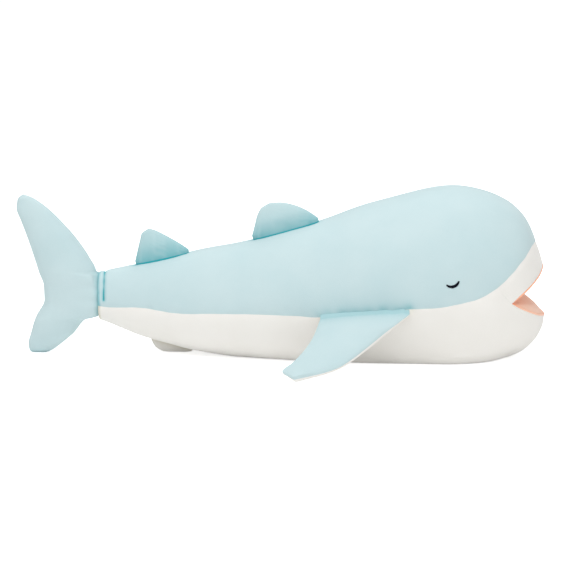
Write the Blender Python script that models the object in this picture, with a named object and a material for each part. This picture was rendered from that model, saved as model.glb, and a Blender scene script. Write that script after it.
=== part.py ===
"""Plush shark: a stuffed toy sewn from stretch-knit panels, with stuffed fins that flap at their roots.

The shark lies on its belly, nose towards +X, left side towards +Y. The origin is at the middle of
its bounding box, on the surface that it lies on. Each panel is a closed shell of its own, each
stuffing is a solid, and every fin turns about the seam that joins it to the body.
"""

import math

import bmesh
import bpy
import numpy as np
from mathutils import Vector

# Overall sizes, in metres
BODY_LENGTH = 0.5045  # from the tail seam to the tip of the nose
TAIL_FIN_LENGTH = 0.0955  # from the tail seam to the rear edge of the upper lobe
HEAD_HEIGHT = 0.1912
HEAD_WIDTH = 0.194

# Fabric and clearances
SKIN = 0.002  # a layer of knit with its seam allowance
FIN_SKIN = 0.0014
SEAM_GAP = 0.0006  # between panels sewn edge to edge
FILL_GAP = 0.0009  # between a skin and the stuffing under it
ROOT_GAP = 0.0008  # between a fin's root and the skin it is sewn to

# Mouth, a wedge that opens forwards
MOUTH_DEPTH = 0.0445  # from the tip of the nose back to the fold of the lining
MOUTH_HEIGHT = 0.071  # of the fold above the floor
UPPER_LIP_ANGLE = math.radians(36.5)
LOWER_LIP_ANGLE = math.radians(29.5)
CHEEK_SEAM_ANGLE = math.radians(129.0)  # of the seam from the mouth corner up to the side seam

# Eyes
EYE_FROM_NOSE = 0.114
EYE_HEIGHT = 0.1012
EYE_RADIUS = 0.0082
EYE_STITCH_WIDTH = 0.003
EYE_STITCH_HEIGHT = 0.0014
EYE_TURN = math.radians(17.0)
EYE_SWEEP = math.radians(118.0)

# Waist, where the body bends
WAIST_FROM_TAIL = 0.1365
WAIST_SLACK = math.radians(12.0)  # free angle each side of the waist plane
WAIST_THICKNESS = 0.006  # of the stuffing on the bending axis

# Fins: distances from the tail seam along the body, and sizes square to the root
FRONT_DORSAL_REAR = 0.1735
FRONT_DORSAL_FRONT = 0.249
FRONT_DORSAL_HEIGHT = 0.0305
REAR_DORSAL_REAR = 0.0405
REAR_DORSAL_FRONT = 0.102
REAR_DORSAL_HEIGHT = 0.0325
DORSAL_THICKNESS = 0.015
PECTORAL_REAR = 0.2485
PECTORAL_FRONT = 0.3495
PECTORAL_SPAN = 0.095
PECTORAL_THICKNESS = 0.020
PECTORAL_DROOP = math.radians(29.0)
PELVIC_REAR = 0.0565
PELVIC_FRONT = 0.0965
PELVIC_THICKNESS = 0.006
PELVIC_CLEARANCE = 0.0004  # between the fin's edge and the floor
FIN_ROOT_THICKNESS = 0.006
TAIL_FIN_HEIGHT = 0.182
TAIL_FIN_THICKNESS = 0.038
TAIL_HINGE_GAP = 0.0035  # between the end of the body and the root of the tail fin

NOSE_X = (BODY_LENGTH + TAIL_FIN_LENGTH) / 2
TAIL_SEAM_X = NOSE_X - BODY_LENGTH
TAIL_HINGE_X = TAIL_SEAM_X - TAIL_HINGE_GAP

# The body's sections, tail to nose: place along the body as a share of BODY_LENGTH, top and bottom
# as shares of HEAD_HEIGHT, width as a share of HEAD_WIDTH, and how far the round of the section
# would reach below its bottom if the floor did not press it flat, as a share of HEAD_HEIGHT.
BODY_SECTIONS = (
    (0.000, 0.491, 0.201, 0.210, 0.000),
    (0.058, 0.520, 0.141, 0.310, 0.000),
    (0.128, 0.562, 0.086, 0.420, 0.005),
    (0.207, 0.606, 0.032, 0.540, 0.012),
    (0.306, 0.663, 0.000, 0.670, 0.020),
    (0.405, 0.724, 0.000, 0.780, 0.055),
    (0.504, 0.803, 0.000, 0.880, 0.089),
    (0.604, 0.892, 0.000, 0.955, 0.111),
    (0.703, 0.964, 0.000, 0.995, 0.125),
    (0.792, 1.000, 0.000, 1.000, 0.139),
    (0.861, 0.976, 0.000, 0.955, 0.093),
    (0.913, 0.924, 0.008, 0.855, 0.030),
    (0.947, 0.844, 0.030, 0.720, 0.012),
    (0.972, 0.727, 0.073, 0.545, 0.004),
    (0.988, 0.610, 0.119, 0.350, 0.000),
    (0.999, 0.498, 0.191, 0.170, 0.000),
    (1.003, 0.347, 0.347, 0.000, 0.000),
)
WIDEST_LEVEL = 0.44  # height of the widest line, as a share of the section's height
ROUNDNESS_ABOVE = 2.1  # superellipse powers of the two halves of a section
ROUNDNESS_BELOW = 2.2

# The side seam between blue and cream: place along the body, and height as a share of the section's
SIDE_SEAM = (
    (0.000, 0.338),
    (0.094, 0.448),
    (0.160, 0.432),
    (0.267, 0.450),
    (0.427, 0.405),
    (0.493, 0.373),
    (0.693, 0.371),
    (0.740, 0.369),
    (0.823, 0.405),
    (0.870, 0.478),
    (0.909, 0.590),
    (0.945, 0.750),
    (0.967, 0.900),
    (0.980, 1.000),
)

RINGS_BETWEEN = 1  # extra rings of vertices between two neighbouring body sections of the head
HEAD_ROWS = range(9, 14)  # the rows of BODY_SECTIONS that these rings follow
TIP_SHARE = 0.9  # how near to the brow the blue panels' last ring comes, as a share of the way
FLAT_STEPS = 2  # faces from the belly line to the edge of the flat that the floor presses
LEAST_FLAT = math.radians(18.0)  # angle of these faces where the section is not pressed
SIDE_STEPS = 5  # faces from there up to the side seam
STEPS_ABOVE = 6  # faces from the side seam up to the spine
CHORD_STEPS = 6  # faces across a fin
MERGE = 1e-6
FAR = 0.5  # reach of the cutters past the body

BLUE = (0.79, 0.90, 0.91)
BLUE_FIN = (0.71, 0.87, 0.88)
CREAM = (0.91, 0.90, 0.87)
CORAL = (0.97, 0.75, 0.65)
NAVY = (0.08, 0.10, 0.17)
FIBRE = (0.95, 0.95, 0.94)


def linear(colour):
    """A display colour as the linear colour that a shader takes."""
    return tuple(c / 12.92 if c <= 0.04045 else ((c + 0.055) / 1.055) ** 2.4 for c in colour)


def add_material(obj, colour, roughness):
    material = bpy.data.materials.new(obj.name)
    material.use_nodes = True
    shader = material.node_tree.nodes["Principled BSDF"]
    shader.inputs["Base Color"].default_value = (*linear(colour), 1.0)
    shader.inputs["Roughness"].default_value = roughness
    shader.inputs["Metallic"].default_value = 0.0
    obj.data.materials.append(material)


def add_object(name, bm, colour=None, roughness=0.9, pivot=None):
    """The bmesh as an object. With a pivot, the object's origin stands there."""
    bmesh.ops.remove_doubles(bm, verts=bm.verts, dist=MERGE)
    bmesh.ops.dissolve_degenerate(bm, edges=bm.edges, dist=MERGE)
    bmesh.ops.recalc_face_normals(bm, faces=bm.faces)
    if pivot is not None:
        bmesh.ops.translate(bm, verts=bm.verts, vec=-Vector(pivot))
    mesh = bpy.data.meshes.new(name)
    bm.to_mesh(mesh)
    bm.free()
    obj = bpy.data.objects.new(name, mesh)
    bpy.context.scene.collection.objects.link(obj)
    if pivot is not None:
        obj.location = pivot
    if colour is None:
        obj.hide_render = True
        obj.display_type = "WIRE"
    else:
        mesh.shade_smooth()
        mesh.set_sharp_from_angle(angle=math.radians(40))
        add_material(obj, colour, roughness)
    return obj


def catmull_rom(rows, place):
    """The smooth row at a place counted in rows. Past the last row the nose mirrors back."""
    first = min(int(place), len(rows) - 2)
    t = place - first
    p = [rows[max(first - 1, 0)], rows[first], rows[first + 1]]
    p.append(rows[first + 2] if first + 2 < len(rows) else mirrored(rows[first]))
    return 0.5 * (
        2 * p[1]
        + (p[2] - p[0]) * t
        + (2 * p[0] - 5 * p[1] + 4 * p[2] - p[3]) * t**2
        + (3 * p[1] - p[0] - 3 * p[2] + p[3]) * t**3
    )


def mirrored(row):
    """The section that closes the nose: top and bottom swap, and the width changes sign."""
    along, top, bottom, width, pressed = row
    return np.array([along, bottom, top, -width, pressed])


SECTIONS = [np.array(row) for row in BODY_SECTIONS]


def section(place):
    """Sizes in metres of the body's section at a place counted in BODY_SECTIONS rows."""
    along, top, bottom, width, pressed = catmull_rom(SECTIONS, place)
    x = TAIL_SEAM_X + along * BODY_LENGTH
    bottom, pressed = max(bottom, 0.0), max(pressed, 0.0)
    return x, top * HEAD_HEIGHT, bottom * HEAD_HEIGHT, width * HEAD_WIDTH / 2, pressed * HEAD_HEIGHT


def place_at(x):
    """The place in BODY_SECTIONS rows of the section at x."""
    low, high = 0.0, len(SECTIONS) - 1.0
    for _ in range(50):
        middle = (low + high) / 2
        if section(middle)[0] < x:
            low = middle
        else:
            high = middle
    return (low + high) / 2


def seam_share(place):
    """Height of the side seam at a place, as a share of the section's height."""
    along = (section(place)[0] - TAIL_SEAM_X) / BODY_LENGTH
    return float(np.interp(along, *zip(*SIDE_SEAM)))


def seam_angle(place):
    x, top, bottom, _, _ = section(place)
    return angle_at(place, bottom + seam_share(place) * (top - bottom))


def angle_at(place, z):
    """The angle round the section at which the body's surface has height z."""
    _, top, bottom, _, pressed = section(place)
    widest = bottom + WIDEST_LEVEL * (top - bottom)
    if z >= widest:
        rise = min((z - widest) / max(top - widest, MERGE), 1.0)
        return math.asin(rise ** (ROUNDNESS_ABOVE / 2))
    fall = min((widest - z) / max(widest - bottom + pressed, MERGE), 1.0)
    return -math.asin(fall ** (ROUNDNESS_BELOW / 2))


def body_point(place, angle):
    """The body's surface at an angle: 90 degrees is the spine, -90 the belly line, 0 the left side."""
    x, top, bottom, half_width, pressed = section(place)
    widest = bottom + WIDEST_LEVEL * (top - bottom)
    up = math.sin(angle)
    power = ROUNDNESS_ABOVE if up > 0 else ROUNDNESS_BELOW
    height = (top - widest) if up > 0 else (widest - bottom + pressed)
    out = math.cos(angle)
    y = half_width * math.copysign(abs(out) ** (2 / power), out) * (abs(out) > MERGE)
    z = widest + height * math.copysign(abs(up) ** (2 / power), up)
    return Vector((x, y, max(z, bottom)))


def body_normal(place, angle):
    """Outward normal of the body's surface."""
    step = 0.02
    last = len(SECTIONS) - 1.0
    if place > last - MERGE:
        return Vector((1.0, 0.0, 0.0))
    before, after = max(place - step, 0.0), min(place + step, last)
    along = body_point(after, angle) - body_point(before, angle)
    around = body_point(place, angle + step) - body_point(place, angle - step)
    return along.cross(around).normalized() * -1.0


def body_inside(place, angle, inset):
    """The point at a depth under the body's surface."""
    return body_point(place, angle) - body_normal(place, angle) * inset


def ring_places():
    """Places of the rings of vertices, with one where the side seam crosses the snout."""
    places = []
    for row in range(len(SECTIONS) - 1):
        steps = 1 + RINGS_BETWEEN * (row in HEAD_ROWS)
        places += [row + k / steps for k in range(steps)]
    places.append(len(SECTIONS) - 1.0)
    crossing = place_at(TAIL_SEAM_X + SIDE_SEAM[-1][0] * BODY_LENGTH)
    near = min(range(len(places)), key=lambda k: abs(places[k] - crossing))
    places[near] = crossing
    return places, near


PLACES, CROSSING = ring_places()


def angles(place, above):
    """Angles of a ring's vertices on the left side, from the belly or up from the seam."""
    seam = seam_angle(place)
    if above:
        return list(np.linspace(seam, math.pi / 2, STEPS_ABOVE + 1))
    _, top, bottom, _, pressed = section(place)
    clear = max(WIDEST_LEVEL * (top - bottom), MERGE)
    reach = clear / (clear + pressed)
    edge = max(-math.asin(reach ** (ROUNDNESS_BELOW / 2)), LEAST_FLAT - math.pi / 2)
    flat = np.linspace(-math.pi / 2, edge, FLAT_STEPS + 1)
    return [*flat[:-1], *np.linspace(edge, seam, SIDE_STEPS + 1)]


def add_sheet(bm, rows):
    """Faces over a grid of points, each split on the same diagonal, so that a skin's two faces and
    the stuffing under it stay parallel."""
    verts = [[bm.verts.new(p) for p in row] for row in rows]
    for a, b in zip(verts, verts[1:]):
        for j in range(len(a) - 1):
            bm.faces.new((a[j], a[j + 1], b[j]))
            bm.faces.new((a[j + 1], b[j + 1], b[j]))
    return verts


def add_rim(bm, outer, inner):
    """Faces that join two borders of the same number of vertices."""
    for k in range(len(outer) - 1):
        bm.faces.new((outer[k], outer[k + 1], inner[k + 1], inner[k]))


def shell(outer_rows, inner_rows):
    """A closed panel between two grids of the same size."""
    bm = bmesh.new()
    outer = add_sheet(bm, outer_rows)
    inner = add_sheet(bm, inner_rows)
    add_rim(bm, outer[0], inner[0])
    add_rim(bm, outer[-1], inner[-1])
    add_rim(bm, [row[0] for row in outer], [row[0] for row in inner])
    add_rim(bm, [row[-1] for row in outer], [row[-1] for row in inner])
    return bm


def seam_setback(point, neighbour, gap):
    """The point moved from a panel's edge towards its neighbour by half the seam's gap."""
    step = neighbour - point
    return point + step.normalized() * min(gap / 2, step.length / 2) if step.length > MERGE else point


def on_side(rows, side):
    """The grid, which is that of the left side, or its mirror image for a side of -1."""
    return [[Vector((p.x, side * p.y, p.z)) for p in row] for row in rows]


def back_rows(inset):
    """Grid of the left blue panel, from the side seam up to the spine, to a point at the brow."""
    rows = []
    for place in PLACES[: CROSSING + 1]:
        row = [body_inside(place, a, inset) for a in angles(place, True)]
        row[0] = seam_setback(row[0], row[1], SEAM_GAP)
        row[-1].y = SEAM_GAP / 2
        rows.append(row)
    brow, behind = rows[-1][-1], rows[-2][-1]
    tip = brow + (behind - brow).normalized() * 5 * SEAM_GAP
    rows[-1] = [p.lerp(tip, TIP_SHARE) for p in rows[-2]]
    return rows


def make_back_panels():
    for name, side in (("back_panel_left", 1), ("back_panel_right", -1)):
        bm = shell(on_side(back_rows(0.0), side), on_side(back_rows(SKIN), side))
        add_object(name, bm, BLUE)


def cream_rows(inset):
    """Grid of the left half of the cream skin, from the belly line up to the side seam."""
    rows = []
    for k, place in enumerate(PLACES):
        row = [body_inside(place, a, inset) for a in angles(place, False)]
        if k < CROSSING:
            row[-1] = seam_setback(row[-1], row[-2], SEAM_GAP)
        else:
            row[-1].y = 0.0
        row[0].y = 0.0
        rows.append(row)
    return rows


def cream_mesh():
    """The cream skin before it is cut into belly and snout: open at the tail and above the seam."""
    bm = bmesh.new()
    for side in (1, -1):
        outer = add_sheet(bm, on_side(cream_rows(0.0), side))
        inner = add_sheet(bm, on_side(cream_rows(SKIN), side))
        add_rim(bm, outer[0], inner[0])
        seam = range(CROSSING + 1)
        add_rim(bm, [outer[k][-1] for k in seam], [inner[k][-1] for k in seam])
    return bm


def body_solid(inset):
    """The body closed at the tail and the nose, at a depth under the skin's outer face."""
    rows = []
    for place in PLACES:
        below, above = angles(place, False), angles(place, True)
        row = [body_inside(place, a, inset) for a in below + above[1:]]
        row[0].y = row[-1].y = 0.0
        rows.append(row)
    bm = bmesh.new()
    for side in (1, -1):
        end = add_sheet(bm, on_side(rows, side))[0]
        bm.faces.new(end)
    return bm


def prism(name, outline, normal_axis):
    """A cutter: an outline in the XZ or the XY plane, extruded square to it on both sides."""
    bm = bmesh.new()
    flat = [Vector((a, -FAR, b)) if normal_axis == "Y" else Vector((a, b, -FAR)) for a, b in outline]
    face = bm.faces.new([bm.verts.new(p) for p in flat])
    made = bmesh.ops.extrude_face_region(bm, geom=[face])["geom"]
    reach = Vector((0, 2 * FAR, 0)) if normal_axis == "Y" else Vector((0, 0, 2 * FAR))
    bmesh.ops.translate(bm, verts=[v for v in made if isinstance(v, bmesh.types.BMVert)], vec=reach)
    return add_object(name, bm)


def cut(obj, cutter, operation="DIFFERENCE"):
    boolean = obj.modifiers.new(cutter.name, "BOOLEAN")
    boolean.object = cutter
    boolean.operation = operation
    boolean.solver = "EXACT"


def mouth_fold(depth):
    """Where the two planes that lie at a depth under the lips' faces meet, as x and z."""
    # Each plane keeps its angle, so the fold moves back and up or down along their bisector
    rise, fall = UPPER_LIP_ANGLE, LOWER_LIP_ANGLE
    back = depth / math.sin((rise + fall) / 2)
    heading = (rise - fall) / 2
    x = NOSE_X - MOUTH_DEPTH - back * math.cos(heading)
    z = MOUTH_HEIGHT - back * math.sin(heading)
    return x, z


def mouth_outline(depth):
    """The open wedge of the mouth, grown into the lips by a depth."""
    x, z = mouth_fold(depth)
    upper = (x + FAR, z + FAR * math.tan(UPPER_LIP_ANGLE))
    lower = (x + FAR, z - FAR * math.tan(LOWER_LIP_ANGLE))
    return [(x, z), lower, upper]


def snout_outline(setback):
    """All that lies above the mouth and in front of the cheek seams."""
    x, z = mouth_fold(SKIN + FILL_GAP)
    x, z = x - setback, z - setback
    reach = FAR / 4
    seam_top = (x + reach * math.cos(CHEEK_SEAM_ANGLE), z + reach * math.sin(CHEEK_SEAM_ANGLE))
    return [(x, z), (x + FAR, z), (x + FAR, seam_top[1] + FAR), (seam_top[0], seam_top[1] + FAR), seam_top]


def make_cream_panels(mouth):
    belly = add_object("belly_panel", cream_mesh(), CREAM)
    snout = add_object("snout_panel", cream_mesh(), CREAM)
    cut(belly, prism("belly_limit", snout_outline(SEAM_GAP), "Y"))
    cut(snout, prism("snout_limit", snout_outline(0.0), "Y"), "INTERSECT")
    cut(belly, mouth)
    cut(snout, mouth)


def make_mouth_linings():
    body = add_object("body_outside", body_solid(0.0))
    inner_x, inner_z = mouth_fold(SKIN)
    open_x, open_z = mouth_fold(0.0)
    half_gap = SEAM_GAP / 2
    for name, slope, side in (
        ("mouth_roof_lining", math.tan(UPPER_LIP_ANGLE), 1),
        ("mouth_floor_lining", -math.tan(LOWER_LIP_ANGLE), -1),
    ):
        outline = [
            (inner_x, inner_z + side * half_gap),
            (open_x, open_z + side * half_gap),
            (open_x + FAR, open_z + FAR * slope),
            (inner_x + FAR, inner_z + FAR * slope + side * half_gap),
        ]
        lining = prism(name, outline, "Y")
        lining.hide_render = False
        lining.display_type = "TEXTURED"
        add_material(lining, CORAL, 0.9)
        cut(lining, body, "INTERSECT")


def make_fills(mouth):
    """The stuffing, split at the waist so that the two ends can turn towards each other."""
    waist_x = TAIL_SEAM_X + WAIST_FROM_TAIL
    flare = FAR * math.tan(WAIST_SLACK)
    half = WAIST_THICKNESS / 2
    front = [(waist_x + half + SEAM_GAP, 0), (waist_x + half + SEAM_GAP + flare, FAR)]
    front += [(waist_x + FAR, FAR), (waist_x + FAR, -FAR), (waist_x + half + SEAM_GAP + flare, -FAR)]
    rear = [(2 * waist_x - x, y) for x, y in front]
    middle = [(waist_x + half, 0), (waist_x + half + flare, FAR), (waist_x - half - flare, FAR)]
    middle += [(2 * waist_x - x, -y) for x, y in middle]
    depth = SKIN + FILL_GAP
    for name, outline in (("head_fill", front), ("rear_fill", rear), ("waist_fill", middle)):
        fill = add_object(name, body_solid(depth), FIBRE, 1.0)
        cut(fill, prism(name + "_limit", outline, "Z"), "INTERSECT")
        if name == "head_fill":
            cut(fill, mouth)


def make_eyes():
    """A closed eye on each cheek: a crescent of satin stitches that stands just off the skin."""
    steps = 10
    for name, side in (("eye_stitching_left", 1), ("eye_stitching_right", -1)):
        sheets = []
        for lift in (SEAM_GAP + EYE_STITCH_HEIGHT, SEAM_GAP):
            rows = []
            for k in range(steps + 1):
                turn = -math.pi / 2 + EYE_TURN + EYE_SWEEP * (k / steps - 0.5)
                half = EYE_STITCH_WIDTH / 2 * (0.45 + 0.55 * math.sin(math.pi * k / steps))
                row = []
                for radius in (EYE_RADIUS - half, EYE_RADIUS + half):
                    x = NOSE_X - EYE_FROM_NOSE + radius * math.cos(turn)
                    z = EYE_HEIGHT + radius * math.sin(turn)
                    place = place_at(x)
                    point = body_inside(place, angle_at(place, z), -lift)
                    row.append(Vector((point.x, side * point.y, point.z)))
                rows.append(row)
            sheets.append(rows)
        add_object(name, shell(*sheets), NAVY, 0.6)


class Fin:
    """A stuffed fin: two panels sewn round their edge, and the stuffing between them.

    origin is the rear end of the root, root points along it, span points away from the body, and
    rear and front are the edges from root to tip, as (along the root, out along the span).
    thickness holds the full thickness at each of their points.
    """

    def __init__(self, origin, root, span, rear, front, thickness):
        self.origin = Vector(origin)
        self.root = Vector(root).normalized()
        self.span = Vector(span)
        self.span = (self.span - self.root * self.span.dot(self.root)).normalized()
        self.normal = self.span.cross(self.root)
        self.rear, self.front, self.thickness = rear, front, thickness

    def point(self, station, chord, height):
        """A point at a station, at a share of the chord, and a height off the fin's middle plane."""
        rear, front = self.rear[station], self.front[station]
        along = rear[0] + (front[0] - rear[0]) * chord
        out = rear[1] + (front[1] - rear[1]) * chord
        return self.origin + self.root * along + self.span * out + self.normal * height

    def half_thickness(self, station, chord):
        return self.thickness[station] / 2 * math.sqrt(4 * chord * (1 - chord))

    def rows(self, side, depth, least, first=0):
        """Grid at a depth under one face, never nearer to the middle plane than least."""
        stations = range(len(self.rear) - (1 if first else 0))
        chords = [k / CHORD_STEPS for k in range(first, CHORD_STEPS + 1 - first)]
        return [
            [self.point(i, c, side * max(self.half_thickness(i, c) - depth, least)) for c in chords]
            for i in stations
        ]

    def make(self, names, colours, pivot):
        """The two panels, normal side first, and the fill."""
        edge = SEAM_GAP / 2
        for name, colour, side in zip(names[:2], colours, (1, -1)):
            outer = self.rows(side, 0.0, edge + FIN_SKIN)
            inner = self.rows(side, FIN_SKIN, edge)
            add_object(name, shell(outer, inner), colour, 0.9, pivot)
        depth = FIN_SKIN + FILL_GAP
        fill = shell(self.rows(1, depth, edge, 1), self.rows(-1, depth, edge, 1))
        add_object(names[2], fill, FIBRE, 1.0, pivot)


def spine_line(rear_from_tail, front_from_tail):
    """The straight root line of a fin on the back: its rear end, direction and length.

    It is lifted until the root, which is round about it, clears the back all along.
    """
    ends = []
    for distance in (rear_from_tail, front_from_tail):
        x = TAIL_SEAM_X + distance
        ends.append(Vector((x, 0.0, section(place_at(x))[1])))
    run = ends[1] - ends[0]
    bulge = 0.0
    for k in range(1, 20):
        on_line = ends[0].lerp(ends[1], k / 20)
        bulge = max(bulge, section(place_at(on_line.x))[1] - on_line.z)
    lift = bulge + FIN_ROOT_THICKNESS / 2 + ROOT_GAP
    up = Vector((-run.z, 0.0, run.x)).normalized()
    return ends[0] + up * lift, run, up


def make_dorsal_fins():
    for name, rear_x, front_x, height, rear, front in (
        (
            "front_dorsal",
            FRONT_DORSAL_REAR,
            FRONT_DORSAL_FRONT,
            FRONT_DORSAL_HEIGHT,
            ((0.00, 0.0), (0.08, 0.36), (0.15, 0.68), (0.23, 0.90), (0.31, 0.99)),
            ((1.00, 0.0), (0.90, 0.30), (0.76, 0.62), (0.58, 0.88), (0.44, 1.00)),
        ),
        (
            "rear_dorsal",
            REAR_DORSAL_REAR,
            REAR_DORSAL_FRONT,
            REAR_DORSAL_HEIGHT,
            ((0.00, 0.0), (0.09, 0.36), (0.17, 0.68), (0.23, 0.90), (0.32, 0.99)),
            ((1.00, 0.0), (0.86, 0.28), (0.68, 0.60), (0.52, 0.86), (0.42, 1.00)),
        ),
    ):
        origin, run, up = spine_line(rear_x, front_x)
        length = run.length
        rear = [(a * length, h * height) for a, h in rear]
        front = [(a * length, h * height) for a, h in front]
        thickness = [FIN_ROOT_THICKNESS] + [share * DORSAL_THICKNESS for share in (1.0, 0.9, 0.6, 0.35)]
        fin = Fin(origin, run, up, rear, front, thickness)
        names = [f"{name}_{piece}" for piece in ("left_panel", "right_panel", "fill")]
        fin.make(names, (BLUE_FIN, BLUE_FIN), origin)


def make_pectoral_fins():
    """The side fins: blue above, cream below, drooping from the side seam to the floor."""
    rear = ((0.00, 0.0), (-0.06, 0.30), (-0.15, 0.53), (-0.28, 0.74), (-0.40, 0.88), (-0.36, 0.985))
    front = ((1.00, 0.0), (0.72, 0.32), (0.53, 0.55), (0.34, 0.76), (0.16, 0.91), (-0.10, 1.00))
    for name, side in (("pectoral_left", 1), ("pectoral_right", -1)):
        ends, normals = [], []
        for distance in (PECTORAL_REAR, PECTORAL_FRONT):
            place = place_at(TAIL_SEAM_X + distance)
            ends.append(body_point(place, seam_angle(place)))
            normals.append(body_normal(place, seam_angle(place)))
        outward = (normals[0] + normals[1]).normalized()
        bulge = 0.0
        for k in range(1, 20):
            on_line = ends[0].lerp(ends[1], k / 20)
            place = place_at(on_line.x)
            on_body = body_point(place, angle_at(place, on_line.z))
            bulge = max(bulge, (on_body - on_line).dot(outward))
        lift = bulge + FIN_ROOT_THICKNESS / 2 + ROOT_GAP
        origin, tip = [end + outward * lift for end in ends]
        run = tip - origin
        span = Vector((0.0, math.cos(PECTORAL_DROOP), -math.sin(PECTORAL_DROOP)))
        for vector in (origin, run, span):
            vector.y *= side
        length = run.length
        edges = [[(a * length, s * PECTORAL_SPAN) for a, s in edge] for edge in (rear, front)]
        shares = (1.0, 0.95, 0.75, 0.5, 0.3)
        thickness = [FIN_ROOT_THICKNESS] + [share * PECTORAL_THICKNESS for share in shares]
        fin = Fin(origin, run, span, *edges, thickness)
        pieces = ("under_panel", "top_panel", "fill") if fin.normal.z < 0 else ("top_panel", "under_panel", "fill")
        colours = (CREAM, BLUE_FIN) if fin.normal.z < 0 else (BLUE_FIN, CREAM)
        fin.make([f"{name}_{piece}" for piece in pieces], colours, origin)


def make_pelvic_fin():
    """A small cream fin under the rear of the belly, its lower edge on the floor."""
    ends = []
    for distance in (PELVIC_REAR, PELVIC_FRONT):
        x = TAIL_SEAM_X + distance
        drop = PELVIC_THICKNESS / 2 + ROOT_GAP
        ends.append(Vector((x, 0.0, section(place_at(x))[2] - drop)))
    run = ends[1] - ends[0]
    down = Vector((run.z, 0.0, -run.x)).normalized()
    length = run.length
    drops = [(end.z - PELVIC_CLEARANCE) / -down.z for end in ends]
    rear = [(0.0, 0.0), (0.19 * length, 0.5 * drops[0]), (0.40 * length, 0.62 * drops[0])]
    front = [(length, 0.0), (length * 0.98, 0.5 * drops[1]), (length * 0.96, 0.98 * drops[1])]
    thickness = [PELVIC_THICKNESS, PELVIC_THICKNESS, PELVIC_THICKNESS * 0.8]
    fin = Fin(ends[0], run, down, rear, front, thickness)
    names = ["pelvic_right_panel", "pelvic_left_panel", "pelvic_fill"]
    if fin.normal.y > 0:
        names[:2] = names[1::-1]
    fin.make(names, (CREAM, CREAM), ends[0])


def make_tail_fin():
    """The forked tail, built up in level slices from the lower tip on the floor to the upper tip."""
    # Height, then how far the rear and the front edge stand behind the hinge, and the thickness
    length = TAIL_FIN_LENGTH - TAIL_HINGE_GAP
    slices = (
        (0.000, 0.865, 0.610, 0.22),
        (0.060, 0.872, 0.450, 0.50),
        (0.130, 0.835, 0.290, 0.75),
        (0.205, 0.790, 0.170, 0.92),
        (0.240, 0.760, 0.030, 0.97),
        (0.340, 0.660, 0.000, 1.00),
        (0.430, 0.665, 0.000, 1.00),
        (0.505, 0.715, 0.000, 0.97),
        (0.600, 0.770, 0.085, 0.90),
        (0.720, 0.850, 0.240, 0.78),
        (0.830, 0.935, 0.425, 0.62),
        (0.915, 1.000, 0.595, 0.46),
        (0.970, 0.985, 0.740, 0.30),
        (1.000, 0.940, 0.850, 0.16),
    )
    rear = [(z * TAIL_FIN_HEIGHT, x * length) for z, x, _, _ in slices]
    front = [(z * TAIL_FIN_HEIGHT, x * length) for z, _, x, _ in slices]
    thickness = [share * TAIL_FIN_THICKNESS for _, _, _, share in slices]
    origin = Vector((TAIL_HINGE_X, 0.0, 0.0))
    fin = Fin(origin, (0, 0, 1), (-1, 0, 0), rear, front, thickness)
    names = ["tail_fin_left_panel", "tail_fin_right_panel", "tail_fin_fill"]
    if fin.normal.y < 0:
        names[:2] = names[1::-1]
    fin.make(names, (BLUE_FIN, BLUE_FIN), origin)


def main():
    for obj in list(bpy.data.objects):
        bpy.data.objects.remove(obj)
    mouth = prism("mouth_space", mouth_outline(SKIN + FILL_GAP), "Y")
    make_back_panels()
    make_cream_panels(mouth)
    make_mouth_linings()
    make_fills(mouth)
    make_eyes()
    make_dorsal_fins()
    make_pectoral_fins()
    make_pelvic_fin()
    make_tail_fin()


main()
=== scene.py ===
"""Visual model of a plush shark, sewn from stretch knit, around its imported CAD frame."""

import logging
import math
from dataclasses import dataclass
from enum import Enum

import bpy
import numpy as np
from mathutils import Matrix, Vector


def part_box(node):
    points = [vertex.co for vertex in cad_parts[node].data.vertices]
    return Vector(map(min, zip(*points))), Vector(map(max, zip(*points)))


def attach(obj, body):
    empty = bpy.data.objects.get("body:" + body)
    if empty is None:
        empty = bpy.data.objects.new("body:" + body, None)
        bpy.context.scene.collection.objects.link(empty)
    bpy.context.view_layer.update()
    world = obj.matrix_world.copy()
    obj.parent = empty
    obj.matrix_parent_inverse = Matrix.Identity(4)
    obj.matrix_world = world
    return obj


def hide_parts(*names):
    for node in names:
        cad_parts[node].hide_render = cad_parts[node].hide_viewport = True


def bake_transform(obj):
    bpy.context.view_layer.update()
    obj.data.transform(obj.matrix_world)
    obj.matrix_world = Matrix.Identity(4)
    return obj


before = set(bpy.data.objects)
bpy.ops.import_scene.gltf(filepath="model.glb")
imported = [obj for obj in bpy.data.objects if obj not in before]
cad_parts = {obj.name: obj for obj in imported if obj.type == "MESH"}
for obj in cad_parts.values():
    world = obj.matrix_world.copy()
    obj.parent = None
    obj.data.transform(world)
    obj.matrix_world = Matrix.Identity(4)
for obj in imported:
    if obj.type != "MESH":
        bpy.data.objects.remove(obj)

log = logging.getLogger("shark")

# Overall sizes, in metres, as in the CAD source
BODY_LENGTH = 0.5045
HEAD_HEIGHT = 0.1912
HEAD_WIDTH = 0.194
TAIL_SEAM_X = -0.2045
NOSE_X = 0.300
WIDEST_LEVEL = 0.44
ROUND_ABOVE = 2.1
ROUND_BELOW = 2.2
FLOOR_SOFTNESS = 0.0015  # how softly the belly turns onto the floor

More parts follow.
